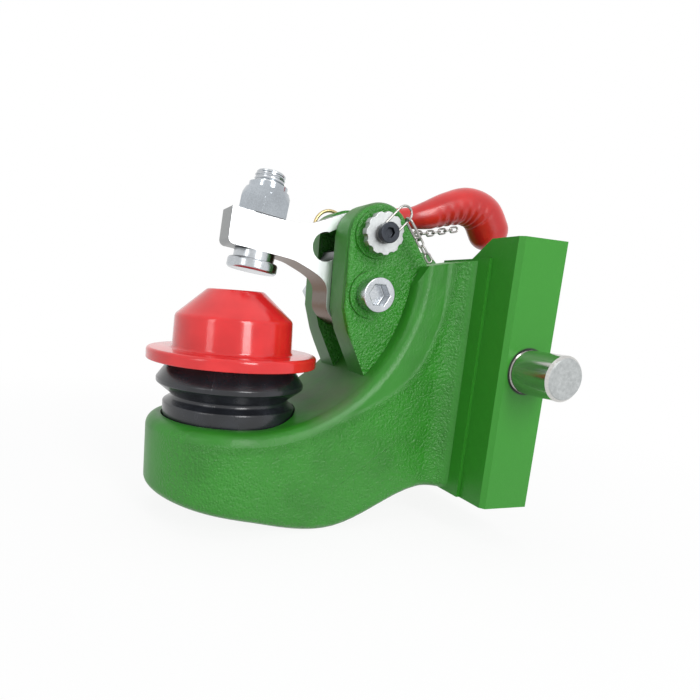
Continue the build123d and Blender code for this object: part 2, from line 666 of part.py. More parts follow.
def make_pivot_nut():
    low = BOSS_FACE_Y + PIVOT_WASHER_T
    nut = hex_along_y(PIVOT_NUT_AF, PIVOT_X, PIVOT_Z, low, low + PIVOT_NUT_H)
    return nut - along_y(PIVOT_D / 2 + RUN_GAP, PIVOT_X, PIVOT_Z, 0, 3 * BOSS_FACE_Y)


def make_bush():
    half = LEVER_T / 2
    bush = along_y(PIVOT_D / 2 + BUSH_WALL, PIVOT_X, PIVOT_Z, -half, half)
    return bush - along_y(PIVOT_D / 2 + RUN_GAP, PIVOT_X, PIVOT_Z, -half - 1, half + 1)


KNOB_INNER_Y = -BOSS_FACE_Y - LOCK_TRAVEL - FACE_GAP
KNOB_OUTER_Y = KNOB_INNER_Y - KNOB_T


def make_locking_pin():
    half = LEVER_T / 2
    step = -half - FACE_GAP - SEAT_GAP
    far = BOSS_FACE_Y + LOCK_PIN_TAIL
    pin = along_y(LOCK_PIN_D / 2, PIVOT_X, LOCK_Z, KNOB_INNER_Y, step)
    pin += along_y(LOCK_NECK_D / 2, PIVOT_X, LOCK_Z, step, far)
    pin -= along_y(KNOB_SCREW_D / 2, PIVOT_X, LOCK_Z, KNOB_INNER_Y - 1, KNOB_INNER_Y + KNOB_SCREW_DEPTH)
    hole = Cylinder(PULL_RING_WIRE_D / 2 + PULL_RING_SAG + SEAT_GAP, 4 * LOCK_NECK_D).rotate(Axis.Y, 90)
    return pin - hole.moved(Location((PIVOT_X, far - LOCK_PIN_TAIL / 2, LOCK_Z)))


def make_knob():
    knob = along_y(KNOB_D / 2, PIVOT_X, LOCK_Z, KNOB_OUTER_Y, KNOB_INNER_Y)
    ring_r = KNOB_D / 2 + KNOB_SCALLOP_R * 0.62
    for index in range(KNOB_SCALLOPS):
        turn = math.radians(360.0 * index / KNOB_SCALLOPS)
        x = PIVOT_X + ring_r * math.cos(turn)
        z = LOCK_Z + ring_r * math.sin(turn)
        knob -= along_y(KNOB_SCALLOP_R, x, z, KNOB_OUTER_Y - 1, KNOB_INNER_Y + 1)
    return knob - along_y(KNOB_SCREW_D / 2 + RUN_GAP, PIVOT_X, LOCK_Z, KNOB_OUTER_Y - 1, KNOB_INNER_Y + 1)


def make_knob_screw():
    head_high = KNOB_OUTER_Y - KNOB_SCREW_GAP
    head_low = head_high - KNOB_SCREW_HEAD_H
    tip = KNOB_INNER_Y + KNOB_SCREW_DEPTH - 1.0
    screw = along_y(KNOB_SCREW_D / 2 - RUN_GAP, PIVOT_X, LOCK_Z, head_high, tip)
    screw += along_y(KNOB_SCREW_HEAD_D / 2, PIVOT_X, LOCK_Z, head_low, head_high)
    return screw - hex_along_y(KNOB_SOCKET_AF, PIVOT_X, LOCK_Z, head_low - 1, head_low + KNOB_SOCKET_DEPTH)


def make_pull_ring():
    far = BOSS_FACE_Y + 9.0 - 4.5
    ring = Torus(PULL_RING_R, PULL_RING_WIRE_D / 2).rotate(Axis.X, 90)
    return ring.moved(Location((PIVOT_X, far, LOCK_Z + PULL_RING_R - PULL_RING_SAG)))


def eye_width():
    return KNOB_SCREW_D + 2 * LINK_WIRE_D + 1.2


def eye_place(distance):
    """Point on the wire eye's middle line, at a distance from the knob screw's axis."""
    turn = math.radians(EYE_TURN)
    middle_y = KNOB_OUTER_Y - KNOB_SCREW_GAP / 2
    return (PIVOT_X + distance * math.cos(turn), middle_y, LOCK_Z + distance * math.sin(turn))


def make_wire_eye():
    """Wire eye held under the screw's head, drawn out to a long loop towards the chain."""
    loop = link(EYE_LENGTH, eye_width(), LINK_WIRE_D)
    centre = eye_place((EYE_LENGTH - eye_width()) / 2)
    return loop.rotate(Axis.X, 90).rotate(Axis.Y, -EYE_TURN).moved(Location(centre))


HOOK_DIRECTION = Vector(0.64, 0, -0.77).normalized()


def hook_top():
    """Centre of the hook's wire where it passes through the end of the eye."""
    bend = Vector(*eye_place(EYE_LENGTH - eye_width()))
    bend_r = (eye_width() - LINK_WIRE_D) / 2
    lift = HOOK_WIRE_D / 2 + LINK_WIRE_D / 2 + LINK_SLACK
    return bend + HOOK_DIRECTION * (bend_r - lift)


def make_snap_hook():
    """Long closed hook that hangs from the wire eye."""
    return hung_link(HOOK_LENGTH, HOOK_WIDTH, HOOK_WIRE_D, hook_top(), HOOK_DIRECTION, 0.0)


def make_tether_chain():
    """Short run of links below the hook."""
    foot = hook_top() + HOOK_DIRECTION * (HOOK_LENGTH - HOOK_WIRE_D)
    first = foot - HOOK_DIRECTION * (HOOK_WIRE_D / 2 + LINK_WIRE_D / 2 + LINK_SLACK)
    links = []
    for index in range(TETHER_LINKS):
        top = first + HOOK_DIRECTION * (index * LINK_PITCH)
        turn = 90.0 * ((index + 1) % 2)
        links.append(hung_link(LINK_LENGTH, LINK_WIDTH, LINK_WIRE_D, top, HOOK_DIRECTION, turn))
    return Compound(links)


GRIP_CHAIN_POINTS = (
    (138.0, 0, 100.0),
    (154.0, 0, 100.9),
    (170.0, 0, 104.6),
    (179.0, 0, 106.6),
)


def make_grip_chain():
    """Links that lie along the underside of the grip."""
    return chain_along(GRIP_CHAIN_POINTS)


def make_cross_pin():
    """Round pin with a shallow ring groove just outside each side of the plate."""
    reach = PLATE_HALF_W + CROSS_PIN_REACH
    pin = along_y(CROSS_PIN_D / 2, CROSS_PIN_X, CROSS_PIN_Z, -reach, reach)
    pin = chamfer(pin.edges().filter_by(GeomType.CIRCLE), CROSS_PIN_CHAMFER)
    near = PLATE_HALF_W + FACE_GAP
    for sign in (-1, 1):
        low, high = sorted((sign * near, sign * (near + CROSS_PIN_GROOVE_W)))
        groove = along_y(CROSS_PIN_D, CROSS_PIN_X, CROSS_PIN_Z, low, high)
        core_r = CROSS_PIN_D / 2 - CROSS_PIN_GROOVE_DEPTH
        groove -= along_y(core_r, CROSS_PIN_X, CROSS_PIN_Z, low - 1, high + 1)
        pin -= groove
    return pin


def build_parts():
    return {
        "hitch_body": make_carrier(),
        "coupling_ball": make_ball(),
        "ball_washer": make_ball_washer(),
        "ball_screw": make_ball_screw(),
        "ball_cap": make_cap(),
        "cap_bellows": make_bellows(),
        "hold_down_lever": make_lever() + make_tail(),
        "pivot_bush": make_bush(),
        "hold_down_stud": make_stud(),
        "stud_nut": make_stud_nut(),
        "lever_grip": make_grip(),
        "pivot_bolt": make_pivot_bolt(),
        "pivot_washer": make_pivot_washer(),
        "pivot_nut": make_pivot_nut(),
        "locking_pin": make_locking_pin(),
        "locking_knob": make_knob(),
        "knob_screw": make_knob_screw(),
        "pull_ring": make_pull_ring(),
        "wire_eye": make_wire_eye(),
        "snap_hook": make_snap_hook(),
        "tether_chain": make_tether_chain(),
        "grip_chain": make_grip_chain(),
        "cross_pin": make_cross_pin(),
    }


def main():
    os.makedirs("parts", exist_ok=True)
    for name, solid in build_parts().items():
        export_step(solid, f"parts/{name}.step")


main()
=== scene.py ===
import math

import bmesh
import bpy
from mathutils import Matrix, Vector


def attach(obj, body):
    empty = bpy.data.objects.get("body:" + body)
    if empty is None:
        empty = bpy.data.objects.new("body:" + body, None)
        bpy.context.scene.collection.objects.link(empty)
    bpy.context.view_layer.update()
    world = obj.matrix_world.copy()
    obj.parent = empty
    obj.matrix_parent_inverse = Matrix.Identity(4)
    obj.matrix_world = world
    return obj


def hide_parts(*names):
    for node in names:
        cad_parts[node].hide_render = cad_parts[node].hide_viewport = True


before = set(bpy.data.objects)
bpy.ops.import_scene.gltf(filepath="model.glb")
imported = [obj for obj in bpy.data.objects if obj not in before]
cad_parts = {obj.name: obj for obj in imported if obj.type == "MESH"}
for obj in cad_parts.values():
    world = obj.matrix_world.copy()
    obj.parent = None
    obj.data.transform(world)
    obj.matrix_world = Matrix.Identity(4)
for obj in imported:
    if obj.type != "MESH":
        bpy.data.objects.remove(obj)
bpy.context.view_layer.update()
scene = bpy.context.scene
scene.view_settings.view_transform = "Standard"


# The casting: cup, arm, ears and slide plate poured in one piece of iron and sprayed green.
# Its walls keep the grain of the sand mould, while the plate and the ball's seat are machined.
MM = 0.001
PLATE_FRONT = 162.6 * MM
# A lit and a shaded copy of the one green paint follow; mixing them paints light and shade on the casting.
GREEN_LIT = (0.030, 0.235, 0.018, 1.0)
GREEN_SHADED = (0.021, 0.175, 0.012, 1.0)
DUST = (0.115, 0.125, 0.085, 1.0)
# Near-black painted shade for the clearance gap round the cross pin.
BORE_GAP_SHADE = (0.012, 0.014, 0.012, 1.0)
CROSS_BORE = (183.35 * MM, 5.0 * MM)
SCOOP_CENTRE = (5.0 * MM, 69.5 * MM)
SCOOP_R = 116.5 * MM
EAR_FACE = 44.0 * MM
PEBBLE_HEIGHT = 1.2 * MM
SHOULDER_HEIGHT = 3.5 * MM


class Tap:
    """A node's output that can stand in a sum. add() puts any other node into the same tree."""

    def __init__(self, tree, socket=None):
        self.tree = tree
        self.socket = socket

    def add(self, kind, settings=None, inputs=None, out=0):
        node = self.tree.nodes.new(kind)
        for key, value in (settings or {}).items():
            setattr(node, key, value)
        for key, value in (inputs or {}).items():
            if isinstance(value, Tap):
                self.tree.links.new(value.socket, node.inputs[key])
            else:
                node.inputs[key].default_value = value
        return Tap(self.tree, node.outputs[out])

    def beside(self, name):
        """Another output of the same node."""
        return Tap(self.tree, self.socket.node.outputs[name])

    def sum(self, operation, first, second=0.0):
        return self.add("ShaderNodeMath", {"operation": operation}, {0: first, 1: second})

    def __add__(self, other):
        return self.sum("ADD", self, other)

    def __radd__(self, other):
        return self.sum("ADD", other, self)

    def __sub__(self, other):
        return self.sum("SUBTRACT", self, other)

    def __rsub__(self, other):
        return self.sum("SUBTRACT", other, self)

    def __mul__(self, other):
        return self.sum("MULTIPLY", self, other)

    def __rmul__(self, other):
        return self.sum("MULTIPLY", other, self)

    def __abs__(self):
        return self.sum("ABSOLUTE", self)


def ease(value, low, high):
    """0 below low, 1 above high and smooth between."""
    settings = {"interpolation_type": "SMOOTHSTEP"}
    return value.add("ShaderNodeMapRange", settings, {"Value": value, "From Min": low, "From Max": high})


def blotch(at, scale, detail=2.0, roughness=0.5):
    """Cloudy noise, 0 to 1, of that many cells to the metre."""
    inputs = {"Vector": at, "Scale": scale, "Detail": detail, "Roughness": roughness}
    return at.add("ShaderNodeTexNoise", None, inputs)


def mixed(share, first, second):
    """Colour that goes from first to second as share goes from 0 to 1."""
    return share.add("ShaderNodeMix", {"data_type": "RGBA"}, {0: share, 6: first, 7: second}, out=2)


def new_finish(name, metallic=0.0, roughness=0.4, coat=0.0):
    """Material, its shader and a tap on the piece's own coordinates."""
    material = bpy.data.materials.new(name)
    material.use_nodes = True
    shader = material.node_tree.nodes["Principled BSDF"]
    shader.inputs["Metallic"].default_value = metallic
    shader.inputs["Roughness"].default_value = roughness
    shader.inputs["Coat Weight"].default_value = coat
    at = Tap(material.node_tree).add("ShaderNodeTexCoord", out="Object")
    return material, shader, at


def feed(shader, **taps):
    """Links taps to the shader's sockets, named with spaces as underscores."""
    for name, tap in taps.items():
        tap.tree.links.new(tap.socket, shader.inputs[name.replace("_", " ")])


def raised(height, distance, strength=1.0):
    """Normal for a surface whose height, 0 to 1, stands for that distance in metres."""
    return height.add("ShaderNodeBump", None, {"Strength": strength, "Distance": distance, "Height": height})


def new_piece(name, mesh, material, body, nodes=()):
    """Object of that mesh, riding on a body and standing for the nodes."""
    mesh.materials.clear()
    mesh.materials.append(material)
    piece = bpy.data.objects.new(name, mesh)
    scene.collection.objects.link(piece)
    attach(piece, body)
    if nodes:
        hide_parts(*nodes)
    return piece


def node_copy(node, edge=0.0, sharp_deg=32.0, segments=2):
    """Smooth copy of a CAD node's mesh, its sharp edges broken by that many millimetres."""
    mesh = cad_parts[node].data.copy()
    work = bmesh.new()
    work.from_mesh(mesh)
    bmesh.ops.remove_doubles(work, verts=work.verts, dist=1e-6)
    bmesh.ops.dissolve_limit(work, angle_limit=math.radians(0.6), verts=work.verts, edges=work.edges)
    work.to_mesh(mesh)
    work.free()
    if edge:
        holder = bpy.data.objects.new("holder", mesh)
        scene.collection.objects.link(holder)
        bevel = holder.modifiers.new("edge", "BEVEL")
        bevel.width = edge * MM
        bevel.segments = segments
        bevel.limit_method = "ANGLE"
        bevel.angle_limit = math.radians(sharp_deg)
        bevel.use_clamp_overlap = True
        holder.modifiers.new("even_faces", "WEIGHTED_NORMAL")
        mesh.shade_smooth()
        plain = bpy.data.meshes.new_from_object(holder.evaluated_get(bpy.context.evaluated_depsgraph_get()))
        bpy.data.objects.remove(holder)
        return plain
    mesh.shade_smooth()
    mesh.set_sharp_from_angle(angle=math.radians(sharp_deg))
    return mesh


def part_of(vector, axis):
    """X, Y or Z of a vector, as 0, 1 or 2."""
    return vector.add("ShaderNodeSeparateXYZ", None, {0: vector}, out=axis)


def pebbles(at, scale):
    """Rounded bumps packed side by side, as sand leaves them on a casting."""
    settings = {"feature": "SMOOTH_F1"}
    return 1.0 - at.add("ShaderNodeTexVoronoi", settings, {"Vector": at, "Scale": scale, "Smoothness": 0.7})


def green_paint():
    material, shader, at = new_finish("green_paint", roughness=0.3)
    shader.inputs["Specular IOR Level"].default_value = 0.4
    x, y, z = (part_of(at, axis) for axis in range(3))
    facing = at.add("ShaderNodeTexCoord", out="Normal")
    cast = 1.0 - ease(x, PLATE_FRONT - 7 * MM, PLATE_FRONT - 1 * MM)
    reach = x.sum("MAXIMUM", x - SCOOP_CENTRE[0], 0.0)
    drop = z - SCOOP_CENTRE[1]
    below_rim = x.sum("SQRT", reach * reach + drop * drop) - SCOOP_R
    rim_width = 11 * MM + ease(x, 60 * MM, 140 * MM) * (18 * MM)
    on_ear = 1.0 - ease(abs(y), EAR_FACE - 2 * MM, EAR_FACE + 2 * MM)
    rough = on_ear.sum("MAXIMUM", on_ear, ease(below_rim - rim_width, -4 * MM, 2 * MM))
    wall = ease(abs(part_of(facing, 1)), 0.3, 0.8) * cast * (0.12 + rough * 0.88)
    grain = blotch(at, 820.0, 3.0, 0.6)
    lumps = blotch(at, 150.0, 2.0, 0.5)
    shoulder = ease(below_rim, 0.0, rim_width) * ease(x, 60 * MM, 150 * MM)
    crest = (1.0 - ease(abs(below_rim - rim_width), 0.0, 5 * MM)) * cast * (1.0 - on_ear)
    seam_run = ease(x, 55 * MM, 70 * MM) * (1.0 - ease(x, 100 * MM, 120 * MM))
    seam = (1.0 - ease(abs(z - 0.66 * x + 132.6 * MM), 0.25 * MM, 0.9 * MM)) * seam_run
    height = wall * (pebbles(at, 560.0) * 0.62 + grain * 0.5) + lumps * (0.12 + wall * 0.65)
    height = height + grain * 0.05 + seam * wall * 0.3 + crest * grain * 0.7
    height = height + shoulder * (SHOULDER_HEIGHT / PEBBLE_HEIGHT)
    # Painted shade: the smooth band above the rim line, between the rim and the ears, is darkened by half
    # towards the shaded green; over the cast walls the two greens also cloud at random.
    tone_and_painted_shade = 1.0 - ease(blotch(at, 30.0, 2.0), 0.35, 0.75) * cast * 0.7 - (1.0 - rough) * cast * 0.5
    hollow = ease(x, 38 * MM, 62 * MM) * (1.0 - ease(x, 78 * MM, 100 * MM))
    scoop = hollow * ease(part_of(facing, 2), 0.35, 0.8)
    dust_and_painted_shade = mixed(scoop * blotch(at, 60.0, 3.0) * 0.9, mixed(tone_and_painted_shade, GREEN_SHADED, GREEN_LIT), DUST)
    # Painted shade: a near-black ring on the plate faces round the cross pin's bore, where the clearance gap
    # between pin and plate lies in shadow.
    aside_x = x - CROSS_BORE[0]
    aside_z = z - CROSS_BORE[1]
    bore_gap_shade = 1.0 - ease(aside_x * aside_x + aside_z * aside_z, (15.5 * MM) ** 2, (17.0 * MM) ** 2)
    feed(
        shader,
        Base_Color=mixed(bore_gap_shade * ease(abs(y), 90 * MM, 94 * MM), dust_and_painted_shade, BORE_GAP_SHADE),
        Roughness=0.34 - wall * 0.17 - crest * 0.08 + grain * 0.10 + scoop * 0.15,
        Normal=raised(height, PEBBLE_HEIGHT),
    )
    return material


casting_mesh = node_copy("hitch_body", 0.9)
new_piece("casting", casting_mesh, green_paint(), "carrier", ["hitch_body"])


# The ball and its fixing: turned and hardened steel, drawn down into the cup by a screw and washer.
# Under the cap and the bellows almost nothing of it shows, apart from the screw seen from below.
def turned_steel(name, colour, roughness=0.3, scratch=900.0):
    material, shader, at = new_finish(name, metallic=1.0, roughness=roughness)
    fine = blotch(at, scratch, 2.0, 0.6)
    broad = blotch(at, 40.0, 2.0)
    dull = tuple(0.74 * part for part in colour[:3]) + (1.0,)
    feed(
        shader,
        Base_Color=mixed(ease(broad * 0.7 + fine * 0.3, 0.35, 0.65), dull, colour),
        Roughness=roughness - 0.08 + fine * 0.16,
        Normal=raised(fine, 0.05 * MM, 0.5),
    )
    return material


ball_steel = turned_steel("ball_steel", (0.55, 0.56, 0.57, 1.0), 0.25)
zinc = turned_steel("zinc_plate", (0.60, 0.63, 0.66, 1.0), 0.24)
ball_mesh = node_copy("coupling_ball", 0.0, 40.0)
new_piece("ball", ball_mesh, ball_steel, "carrier", ["coupling_ball"])
new_piece("washer_below", node_copy("ball_washer", 0.5), zinc, "carrier", ["ball_washer"])
new_piece("screw_below", node_copy("ball_screw", 0.5), zinc, "carrier", ["ball_screw"])


# The bellows: soft black rubber moulded in two half shells, standing in the cup round the ball.
# Its one big fold and the foot are smooth, with a fine mould line down each side.
BELLOWS_SEAMS = (-118.0, 62.0)
BELLOWS_PROFILE = (
    (46.1, -1.7, 0.5), (46.1, -8.7, 3.0), (54.4, -20.2, 1.4), (54.4, -23.2, 1.4), (42.0, -32.8, 2.2),
    (49.0, -37.5, 1.6), (49.0, -50.7, 0.4), (46.0, -50.7, 0.4), (46.0, -40.5, 1.0), (39.0, -34.3, 0.6),
    (39.0, -31.3, 0.6), (49.6, -21.7, 1.0), (43.1, -10.7, 1.0), (43.1, -1.7, 0.5),
)


def rounded(corners, steps=5):
    """Closed outline from (r, z, corner radius) in millimetres, each corner turned into an arc."""
    points = []
    count = len(corners)
    for index, (r, z, radius) in enumerate(corners):
        here = Vector((r, z))
        before = (Vector(corners[index - 1][:2]) - here)
        after = (Vector(corners[(index + 1) % count][:2]) - here)
        opening = before.angle(after)
        if radius <= 0.0 or opening > math.radians(179.0):
            points.append(here)
            continue
        reach = radius / math.tan(opening / 2)
        reach = min(reach, 0.49 * before.length, 0.49 * after.length)
        radius = reach * math.tan(opening / 2)
        inward = (before.normalized() + after.normalized()).normalized()
        centre = here + inward * (radius / math.sin(opening / 2))
        start = here + before.normalized() * reach - centre
        end = here + after.normalized() * reach - centre
        for step in range(steps + 1):
            share = step / steps
            bent = start * (1.0 - share) + end * share
            points.append(centre + bent.normalized() * radius)
    return points


def turned(points, columns=120, seams=(), seam_height=0.3, closed=True):
    """Mesh of an outline turned about Z, in metres, with a fine raised line at each seam angle."""
    angles = [(360.0 * column / columns, 0.0) for column in range(columns)]
    for seam in seams:
        angles = [pair for pair in angles if abs((pair[0] - seam + 180.0) % 360.0 - 180.0) > 1.6]
        angles += [((seam - 0.45) % 360.0, 0.0), (seam % 360.0, seam_height), ((seam + 0.45) % 360.0, 0.0)]
    angles.sort()
    work = bmesh.new()
    rings = []
    for point in points:
        r, z = point[0], point[1]
        if r < 1e-6:
            rings.append([work.verts.new((0.0, 0.0, z * MM))] * len(angles))
            continue
        ring = []
        for angle, lift in angles:
            turn = math.radians(angle)
            out = (r + lift) * MM
            ring.append(work.verts.new((out * math.cos(turn), out * math.sin(turn), z * MM)))
        rings.append(ring)
    pairs = list(zip(rings, rings[1:]))
    if closed:
        pairs.append((rings[-1], rings[0]))
    for low, high in pairs:
        for column in range(len(angles)):
            follow = (column + 1) % len(angles)
            corners = []
            for vert in (low[column], low[follow], high[follow], high[column]):
                if vert not in corners:
                    corners.append(vert)
            if len(corners) > 2:
                work.faces.new(corners)
    bmesh.ops.recalc_face_normals(work, faces=work.faces)
    mesh = bpy.data.meshes.new("turned")
    work.to_mesh(mesh)
    work.free()
    mesh.shade_smooth()
    mesh.set_sharp_from_angle(angle=math.radians(50.0))
    return mesh


def black_rubber():
    material, shader, at = new_finish("black_rubber", roughness=0.3, coat=0.15)
    bloom = blotch(at, 60.0, 3.0)
    fine = blotch(at, 700.0, 2.0)
    feed(
        shader,
        Base_Color=mixed(ease(bloom, 0.35, 0.7), (0.009, 0.010, 0.013, 1.0), (0.018, 0.020, 0.026, 1.0)),
        Roughness=0.18 + bloom * 0.14,
        Normal=raised(fine * 0.5 + bloom, 0.15 * MM, 0.5),
    )
    return material


rubber = black_rubber()
bellows_mesh = turned(rounded(BELLOWS_PROFILE), 144, BELLOWS_SEAMS, 0.25)
new_piece("bellows", bellows_mesh, rubber, "carrier", ["cap_bellows"])


# The cap: red plastic moulded in one piece, put over the ball by hand when nothing is hitched.
# A cone joins the flat top to the skirt, and the turned-down flange rests on the bellows.
CAP_PROFILE = (
    (0.0, 45.0, 0.0), (20.5, 45.0, 4.0), (43.1, 25.2, 5.0), (44.1, 1.4, 2.6), (62.3, 1.4, 2.4),
    (62.3, -7.0, 1.0), (59.5, -7.0, 0.8), (59.5, -1.4, 1.0), (41.3, -1.4, 1.0), (40.3, 23.8, 3.0),
    (19.1, 42.2, 3.0), (0.0, 42.2, 0.0),
)


def red_plastic(name, colour, deep, roughness):
    material, shader, at = new_finish(name, roughness=roughness, coat=0.2)
    cloud = blotch(at, 45.0, 2.0)
    fine = blotch(at, 520.0, 2.0)
    feed(
        shader,
        Base_Color=mixed(ease(cloud, 0.3, 0.7), deep, colour),
        Roughness=roughness - 0.05 + fine * 0.1,
        Normal=raised(fine * 0.4 + cloud, 0.12 * MM, 0.5),
    )
    return material


cap_red = red_plastic("red_plastic", (0.70, 0.020, 0.022, 1.0), (0.60, 0.014, 0.016, 1.0), 0.16)
cap_mesh = turned(rounded(CAP_PROFILE, 6), 144, closed=False)
new_piece("cap", cap_mesh, cap_red, "carrier", ["ball_cap"])


# The hold-down lever: thick plate burnt out to shape, ground and zinc plated, on a bronze bush.
# A round bar welded to its back carries the grip, and the long slot lets it swing past the locking pin.
def ground_plate():
    """Bright plating on the ground faces; the burnt edges darker as painted shade, and those facing down a
    painted brownish reflection.
    """
    material, shader, at = new_finish("lever_zinc", metallic=1.0)
    facing = at.add("ShaderNodeTexCoord", out="Normal")
    face = ease(abs(part_of(facing, 1)), 0.35, 0.85)
    painted_reflection_below = ease(part_of(at, 0), 0.0, 25 * MM) * (1.0 - ease(part_of(facing, 2), -0.2, 0.3))
    cloud = blotch(at, 45.0, 2.0)
    fine = blotch(at, 600.0, 2.0, 0.6)
    # Painted shade: the edges get a darker grey than the faces, and those facing down a painted brownish
    # reflection.
    edges = mixed(painted_reflection_below, (0.23, 0.24, 0.24, 1.0), (0.13, 0.075, 0.045, 1.0))
    faces = mixed(cloud, (0.56, 0.58, 0.59, 1.0), (0.66, 0.67, 0.68, 1.0))
    feed(
        shader,
        Base_Color=mixed(face, edges, faces),
        Roughness=0.26 + fine * 0.14,
        Normal=raised(fine, 0.06 * MM, 0.5),
    )
    return material


lever_zinc = ground_plate()
new_piece("lever", node_copy("hold_down_lever", 0.8), lever_zinc, "lever", ["hold_down_lever"])
bronze = turned_steel("bronze", (0.55, 0.36, 0.16, 1.0), 0.4)
new_piece("bush", node_copy("pivot_bush", 0.3), bronze, "lever", ["pivot_bush"])


# The stud: turned steel with a rolled thread, pressed on the coupling's top by its disc.
# The nut above the lever sets how far it reaches down, and both are zinc plated.
STUD_PLACE = Matrix.Translation((14.0 * MM, 0.0, 86.0 * MM)) @ Matrix.Rotation(math.radians(8.2), 4, "Y")
STUD_PROFILE = (
    (0.0, 43.0, 0.0), (9.4, 43.0, 0.4), (10.2, 42.0, 0.3), (10.2, 12.0, 0.3), (11.0, 11.0, 0.2),
    (11.0, -13.1, 0.2), (15.0, -13.1, 0.6), (15.0, -19.0, 0.3), (17.9, -19.6, 1.0),
    (18.5, -21.0, 0.8), (18.5, -25.6, 1.2),
    (17.2, -27.05, 0.8), (0.0, -27.05, 0.0),
)


def socket_in(tree, name, kind, default=None):
    socket = tree.interface.new_socket(name=name, in_out="INPUT", socket_type=kind)
    if default is not None:
        socket.default_value = default


def new_tree(name, sizes):
    """Geometry node tree with a geometry input, named sizes and a tap on its group input."""
    tree = bpy.data.node_groups.new(name, "GeometryNodeTree")
    tree.interface.new_socket(name="Geometry", in_out="OUTPUT", socket_type="NodeSocketGeometry")
    socket_in(tree, "Geometry", "NodeSocketGeometry")
    for size, default in sizes.items():
        kind = "NodeSocketInt" if isinstance(default, int) else "NodeSocketFloat"
        socket_in(tree, size, kind, default)
    socket_in(tree, "Material", "NodeSocketMaterial")
    entry = tree.nodes.new("NodeGroupInput")
    return tree, {socket.name: Tap(tree, socket) for socket in entry.outputs if socket.name}


def close_tree(tree, geometry, material):
    """Ends a tree in Realize Instances and Set Material."""
    real = geometry.add("GeometryNodeRealizeInstances", None, {"Geometry": geometry})
    painted = real.add("GeometryNodeSetMaterial", None, {"Geometry": real, "Material": material})
    leave = tree.nodes.new("NodeGroupOutput")
    tree.links.new(painted.socket, leave.inputs["Geometry"])


def grown(tree, values, base=None):
    """Plain mesh that a tree makes of those values, from a base object or from nothing."""
    if base is None:
        base = bpy.data.objects.new("seed", bpy.data.meshes.new("seed"))
        scene.collection.objects.link(base)
    modifier = base.modifiers.new(tree.name, "NODES")
    modifier.node_group = tree
    for item in tree.interface.items_tree:
        if item.in_out == "INPUT" and item.name in values:
            modifier[item.identifier] = values[item.name]
    mesh = bpy.data.meshes.new_from_object(base.evaluated_get(bpy.context.evaluated_depsgraph_get()))
    base.modifiers.remove(modifier)
    bpy.data.objects.remove(base)
    mesh.shade_smooth()
    return mesh


def thread_tree():
    """Raised helix about Z, from the height 0 upwards."""
    tree, sizes = new_tree("thread", {"Radius": 0.0102, "Depth": 0.0008, "Turns": 8.0, "Height": 0.02})
    tap = sizes["Radius"]
    spiral = tap.add("GeometryNodeCurveSpiral", None, {
        "Resolution": 40,
        "Rotations": sizes["Turns"],
        "Start Radius": sizes["Radius"],
        "End Radius": sizes["Radius"],
        "Height": sizes["Height"],
    })
    ridge = tap.add("GeometryNodeCurvePrimitiveCircle", None, {"Resolution": 6, "Radius": sizes["Depth"]})
    helix = tap.add("GeometryNodeCurveToMesh", None, {
        "Curve": spiral, "Profile Curve": ridge, "Fill Caps": True,
    })
    close_tree(tree, helix, sizes["Material"])
    return tree


def joined(*meshes):
    """One mesh of several."""
    work = bmesh.new()
    for mesh in meshes:
        work.from_mesh(mesh)
    whole = bpy.data.meshes.new("joined")
    work.to_mesh(whole)
    work.free()
    whole.shade_smooth()
    whole.set_sharp_from_angle(angle=math.radians(45.0))
    return whole


thread = thread_tree()
stud_thread = grown(thread, {
    "Radius": 10.2 * MM, "Depth": 0.85 * MM, "Turns": 6.4, "Height": 16.0 * MM, "Material": zinc,
})
stud_thread.transform(Matrix.Translation((0.0, 0.0, 26.0 * MM)))
stud_mesh = joined(turned(rounded(STUD_PROFILE), 72, closed=False), stud_thread)
stud_mesh.transform(STUD_PLACE)
new_piece("stud", stud_mesh, zinc, "lever", ["hold_down_stud"])
nut_zinc = turned_steel("nut_zinc", (0.50, 0.54, 0.58, 1.0), 0.14)
new_piece("nut", node_copy("stud_nut", 0.5), nut_zinc, "lever", ["stud_nut"])


# The grip: soft red plastic dipped over the lever's bent tail, thickest where the hand closes.
# Shallow finger hollows run along its underside, and the chain to the locking pin lies beneath.
GRIP_STATIONS = (
    (122.0, 108.6, 6.4), (124.5, 109.1, 7.6), (131.0, 110.0, 7.9), (140.0, 111.5, 8.6), (154.0, 115.5, 11.2),
    (170.0, 121.5, 13.2), (187.0, 125.5, 14.6), (203.0, 121.0, 15.4), (212.5, 109.0, 15.6),
)
GRIP_RINGS = 150
GRIP_COLUMNS = 48
HOLLOW_PITCH = 8.0
HOLLOW_DEPTH = 1.4
HOLLOWS_FROM, HOLLOWS_RISE = 32.0, 10.0
HOLLOWS_TO, HOLLOWS_FALL = 88.0, 12.0
TIP_RINGS = 12


def station(share):
    """Point and radius on the grip's line at a share of its stations, through all of them."""
    place = share * (len(GRIP_STATIONS) - 1)
    index = min(int(place), len(GRIP_STATIONS) - 2)
    t = place - index
    around = [GRIP_STATIONS[max(0, min(len(GRIP_STATIONS) - 1, index + step))] for step in (-1, 0, 1, 2)]
    a, b, c, d = (Vector(item) for item in around)
    bend = (2 * a - 5 * b + 4 * c - d) * t * t
    twist = (3 * b - a - 3 * c + d) * t ** 3
    return 0.5 * (2 * b + (c - a) * t + bend + twist)


